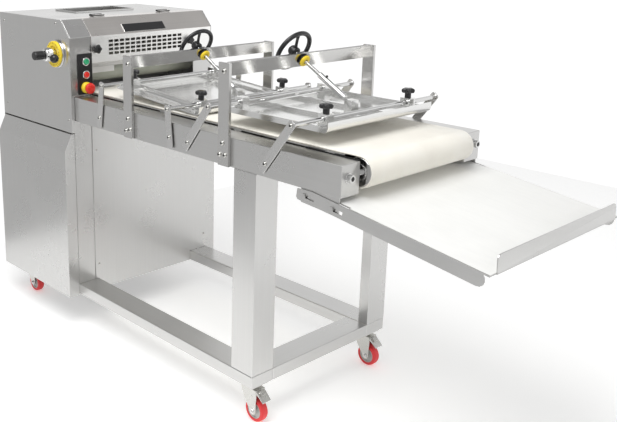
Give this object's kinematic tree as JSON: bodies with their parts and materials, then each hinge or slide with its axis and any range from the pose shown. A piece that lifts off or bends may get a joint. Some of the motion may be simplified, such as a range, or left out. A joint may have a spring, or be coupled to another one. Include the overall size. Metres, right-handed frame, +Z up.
{
  "type": "dough sheeter",
  "caption": "Free-standing bakery moulder: sheeting rollers in a cabinet head feed a belt under two screw-set pressure boards, with a sloping catch tray, on a wheeled base.",
  "frame": {"origin": "on the floor, on the machine's centre plane, 0.405 m behind the front face of the front legs", "axes": "+X along the belt towards the catch tray, -Y towards the operator's side with the gap dial, +Z up"},
  "size_m": [2.1307, 0.7869, 1.1548],
  "materials": {
    "stainless": "brushed",
    "belt_felt": "woven",
    "board_aluminium": "satin",
    "black_plastic": "semi gloss",
    "button_green": "gloss",
    "button_red": "gloss",
    "bright_steel": "satin",
    "plated_fork": "zinc plated",
    "red_tread": "satin",
    "tray_white": "satin",
    "polished_steel": "polished",
    "bush_yellow": "satin",
    "roller_plastic": "satin",
    "scraper_white": "satin"
  },
  "bodies": {
    "machine": {"back_panel": "stainless", "belt": "belt_felt", "belt_bed": "stainless", "bridge_1": "stainless", "bridge_2": "stainless", "cabinet_cover_far": "stainless", "cabinet_cover_near": "stainless", "cabinet_front_panel": "bright_steel", "control_plate": "black_plastic", "conveyor_side_far": "stainless", "conveyor_side_near": "stainless", "gap_dial": "bush_yellow", "head_column": "bright_steel", "head_side_far": "stainless", "head_side_near": "stainless", "head_top": "bright_steel", "leg_far": "stainless", "leg_near": "stainless", "rail_far": "stainless", "rail_front": "stainless", "rail_near": "stainless", "rail_rear": "stainless"},
    "front_guard": {"front_guard": "bright_steel"},
    "guard_knob_near": {"guard_knob_near": "black_plastic"},
    "guard_knob_far": {"guard_knob_far": "black_plastic"},
    "button_start": {"button_start": "button_green"},
    "button_stop": {"button_stop": "button_red"},
    "stop_mushroom": {"stop_mushroom": "button_red"},
    "gap_lever": {"gap_lever": "polished_steel"},
    "scraper": {"scraper": "scraper_white"},
    "roller_front": {"roller_front": "roller_plastic"},
    "roller_rear": {"roller_rear": "roller_plastic"},
    "drum_rear": {"drum_rear": "polished_steel"},
    "drum_front": {"drum_front": "polished_steel"},
    "catch_tray": {"catch_tray": "tray_white"},
    "screw_bush_1": {"screw_bush_1": "bush_yellow"},
    "screw_spindle_1": {"screw_spindle_1": "polished_steel"},
    "handwheel_1": {"handwheel_1": "black_plastic"},
    "screw_bush_2": {"screw_bush_2": "bush_yellow"},
    "screw_spindle_2": {"screw_spindle_2": "polished_steel"},
    "handwheel_2": {"handwheel_2": "black_plastic"},
    "link_a": {"link_a": "stainless"},
    "link_b": {"link_b": "stainless"},
    "link_c": {"link_c": "stainless"},
    "link_d": {"link_d": "stainless"},
    "board_1": {"board_1": "board_aluminium"},
    "board_2": {"board_2": "board_aluminium"},
    "board_knob_1": {"board_knob_1": "black_plastic"},
    "board_knob_2": {"board_knob_2": "black_plastic"},
    "board_knob_3": {"board_knob_3": "black_plastic"},
    "board_knob_4": {"board_knob_4": "black_plastic"},
    "board_knob_5": {"board_knob_5": "black_plastic"},
    "caster_fork_near_front": {"caster_fork_near_front": "plated_fork"},
    "caster_wheel_near_front": {"caster_wheel_near_front": "red_tread"},
    "caster_fork_far_front": {"caster_fork_far_front": "plated_fork"},
    "caster_wheel_far_front": {"caster_wheel_far_front": "red_tread"},
    "caster_fork_near_rear": {"caster_fork_near_rear": "plated_fork"},
    "caster_wheel_near_rear": {"caster_wheel_near_rear": "red_tread"},
    "caster_fork_far_rear": {"caster_fork_far_rear": "plated_fork"},
    "caster_wheel_far_rear": {"caster_wheel_far_rear": "red_tread"}
  },
  "joints": [
    {"name": "guard_hinge", "type": "hinge", "parent": "machine", "child": "front_guard", "pos_m": [-0.62, 0, 1.149], "axis": [0, 1, 0], "range_deg": [-100, 0]},
    {"name": "guard_knob_near_turn", "type": "hinge", "parent": "front_guard", "child": "guard_knob_near", "pos_m": [-0.5076, -0.222, 1.042], "axis": [1, 0, 0], "range_deg": [-180, 180]},
    {"name": "guard_knob_far_turn", "type": "hinge", "parent": "front_guard", "child": "guard_knob_far", "pos_m": [-0.5076, 0.212, 1.042], "axis": [1, 0, 0], "range_deg": [-180, 180]},
    {"name": "start_press", "type": "slide", "parent": "machine", "child": "button_start", "axis": [-1, 0, 0], "range_m": [0, 0.0025], "stiffness_N_per_m": 400},
    {"name": "stop_press", "type": "slide", "parent": "machine", "child": "button_stop", "axis": [-1, 0, 0], "range_m": [0, 0.0025], "stiffness_N_per_m": 400},
    {"name": "emergency_press", "type": "slide", "parent": "machine", "child": "stop_mushroom", "axis": [-1, 0, 0], "range_m": [0, 0.004]},
    {"name": "gap_lever_turn", "type": "hinge", "parent": "machine", "child": "gap_lever", "pos_m": [-0.5895, -0.3314, 1.025], "axis": [0, 1, 0], "range_deg": [-30, 100]},
    {"name": "roller_gap", "type": "slide", "parent": "machine", "child": "scraper", "axis": [1, 0, 0], "range_m": [-0.006, 0.0024]},
    {"name": "roller_front_spin", "type": "hinge", "parent": "scraper", "child": "roller_front", "pos_m": [-0.618, 0, 0.945], "axis": [0, 1, 0], "continuous": true},
    {"name": "roller_rear_spin", "type": "hinge", "parent": "machine", "child": "roller_rear", "pos_m": [-0.705, 0, 0.968], "axis": [0, 1, 0], "continuous": true},
    {"name": "drum_rear_spin", "type": "hinge", "parent": "machine", "child": "drum_rear", "pos_m": [-0.59, 0, 0.844], "axis": [0, 1, 0], "continuous": true},
    {"name": "drum_front_spin", "type": "hinge", "parent": "machine", "child": "drum_front", "pos_m": [0.694, 0, 0.844], "axis": [0, 1, 0], "continuous": true},
    {"name": "screw_tilt_1", "type": "hinge", "parent": "machine", "child": "screw_bush_1", "pos_m": [-0.17, 0, 1.0345], "axis": [0, 1, 0], "range_deg": [-6, 6]},
    {"name": "screw_travel_1", "type": "slide", "parent": "screw_bush_1", "child": "screw_spindle_1", "axis": [0.8474, 0, -0.531], "range_m": [-0.03, 0.03]},
    {"name": "handwheel_1_turn", "type": "hinge", "parent": "screw_spindle_1", "child": "handwheel_1", "pos_m": [-0.21661, 0, 1.0637], "axis": [0.8474, 0, -0.531], "range_deg": [-200, 250]},
    {"name": "link_a_swing", "type": "hinge", "parent": "machine", "child": "link_a", "pos_m": [-0.3465, 0, 0.83], "axis": [0, 1, 0], "range_deg": [-9, 9]},
    {"name": "link_b_swing", "type": "hinge", "parent": "machine", "child": "link_b", "pos_m": [0.03, 0, 0.83], "axis": [0, 1, 0], "range_deg": [-12, 12]},
    {"name": "board_1_level", "type": "hinge", "parent": "link_a", "child": "board_1", "pos_m": [-0.331, 0, 0.942], "axis": [0, 1, 0], "range_deg": [-12, 12]},
    {"name": "screw_tilt_2", "type": "hinge", "parent": "machine", "child": "screw_bush_2", "pos_m": [0.2875, 0, 1.0655], "axis": [0, 1, 0], "range_deg": [-6, 6]},
    {"name": "screw_travel_2", "type": "slide", "parent": "screw_bush_2", "child": "screw_spindle_2", "axis": [0.8717, 0, -0.49], "range_m": [-0.03, 0.03]},
    {"name": "handwheel_2_turn", "type": "hinge", "parent": "screw_spindle_2", "child": "handwheel_2", "pos_m": [0.23955, 0, 1.09245], "axis": [0.8717, 0, -0.49], "range_deg": [-470, 250]},
    {"name": "link_c_swing", "type": "hinge", "parent": "machine", "child": "link_c", "pos_m": [0.117, 0, 0.83], "axis": [0, 1, 0], "range_deg": [-9, 9]},
    {"name": "link_d_swing", "type": "hinge", "parent": "machine", "child": "link_d", "pos_m": [0.444, 0, 0.83], "axis": [0, 1, 0], "range_deg": [-12, 12]},
    {"name": "board_2_level", "type": "hinge", "parent": "link_c", "child": "board_2", "pos_m": [0.2091, 0, 0.9522], "axis": [0, 1, 0], "range_deg": [-12, 12]},
    {"name": "board_knob_1_turn", "type": "hinge", "parent": "board_1", "child": "board_knob_1", "pos_m": [-0.32994, -0.185, 0.95686], "axis": [0.0708, 0, 0.9975], "range_deg": [-180, 180]},
    {"name": "board_knob_2_turn", "type": "hinge", "parent": "board_1", "child": "board_knob_2", "pos_m": [0.02206, -0.185, 0.93186], "axis": [0.0708, 0, 0.9975], "range_deg": [-180, 180]},
    {"name": "board_knob_3_turn", "type": "hinge", "parent": "board_1", "child": "board_knob_3", "pos_m": [0.02206, 0.185, 0.93186], "axis": [0.0708, 0, 0.9975], "range_deg": [-180, 180]},
    {"name": "board_knob_4_turn", "type": "hinge", "parent": "board_2", "child": "board_knob_4", "pos_m": [0.5361, -0.185, 0.9671], "axis": [0, 0, 1], "range_deg": [-180, 180]},
    {"name": "board_knob_5_turn", "type": "hinge", "parent": "board_2", "child": "board_knob_5", "pos_m": [0.5361, 0.185, 0.9671], "axis": [0, 0, 1], "range_deg": [-180, 180]},
    {"name": "tray_shift", "type": "slide", "parent": "machine", "child": "catch_tray", "axis": [0.9903, 0, -0.1392], "range_m": [-0.03, 0]},
    {"name": "caster_swivel_near_front", "type": "hinge", "parent": "machine", "child": "caster_fork_near_front", "pos_m": [0.36, -0.271, 0.1256], "axis": [0, 0, 1], "continuous": true},
    {"name": "caster_roll_near_front", "type": "hinge", "parent": "caster_fork_near_front", "child": "caster_wheel_near_front", "pos_m": [0.384, -0.271, 0.0375], "axis": [0, 1, 0], "continuous": true},
    {"name": "caster_swivel_far_front", "type": "hinge", "parent": "machine", "child": "caster_fork_far_front", "pos_m": [0.36, 0.271, 0.1256], "axis": [0, 0, 1], "continuous": true},
    {"name": "caster_roll_far_front", "type": "hinge", "parent": "caster_fork_far_front", "child": "caster_wheel_far_front", "pos_m": [0.384, 0.271, 0.0375], "axis": [0, 1, 0], "continuous": true},
    {"name": "caster_swivel_near_rear", "type": "hinge", "parent": "machine", "child": "caster_fork_near_rear", "pos_m": [-0.935, -0.271, 0.1256], "axis": [0, 0, 1], "continuous": true},
    {"name": "caster_roll_near_rear", "type": "hinge", "parent": "caster_fork_near_rear", "child": "caster_wheel_near_rear", "pos_m": [-0.911, -0.271, 0.0375], "axis": [0, 1, 0], "continuous": true},
    {"name": "caster_swivel_far_rear", "type": "hinge", "parent": "machine", "child": "caster_fork_far_rear", "pos_m": [-0.935, 0.271, 0.1256], "axis": [0, 0, 1], "continuous": true},
    {"name": "caster_roll_far_rear", "type": "hinge", "parent": "caster_fork_far_rear", "child": "caster_wheel_far_rear", "pos_m": [-0.911, 0.271, 0.0375], "axis": [0, 1, 0], "continuous": true}
  ],
  "couplings": [
    {"joint": "roller_gap", "follows": "gap_lever_turn", "m_per_rad": -0.002865},
    {"joint": "drum_front_spin", "follows": "drum_rear_spin", "ratio": 1},
    {"joint": "roller_rear_spin", "follows": "drum_rear_spin", "ratio": 1},
    {"joint": "roller_front_spin", "follows": "drum_rear_spin", "ratio": -1},
    {"joint": "link_a_swing", "follows": "handwheel_1_turn", "ratio": 0.028777},
    {"joint": "link_b_swing", "follows": "handwheel_1_turn", "ratio": 0.037687},
    {"joint": "board_1_level", "follows": "handwheel_1_turn", "ratio": -0.031008},
    {"joint": "screw_tilt_1", "follows": "handwheel_1_turn", "ratio": -0.0098473},
    {"joint": "screw_travel_1", "follows": "handwheel_1_turn", "m_per_rad": 0.0026026},
    {"joint": "link_c_swing", "follows": "handwheel_2_turn", "ratio": 0.016722},
    {"joint": "link_d_swing", "follows": "handwheel_2_turn", "ratio": 0.016722},
    {"joint": "board_2_level", "follows": "handwheel_2_turn", "ratio": -0.016722},
    {"joint": "screw_tilt_2", "follows": "handwheel_2_turn", "ratio": 0.0016075},
    {"joint": "screw_travel_2", "follows": "handwheel_2_turn", "m_per_rad": 0.002536}
  ]
}
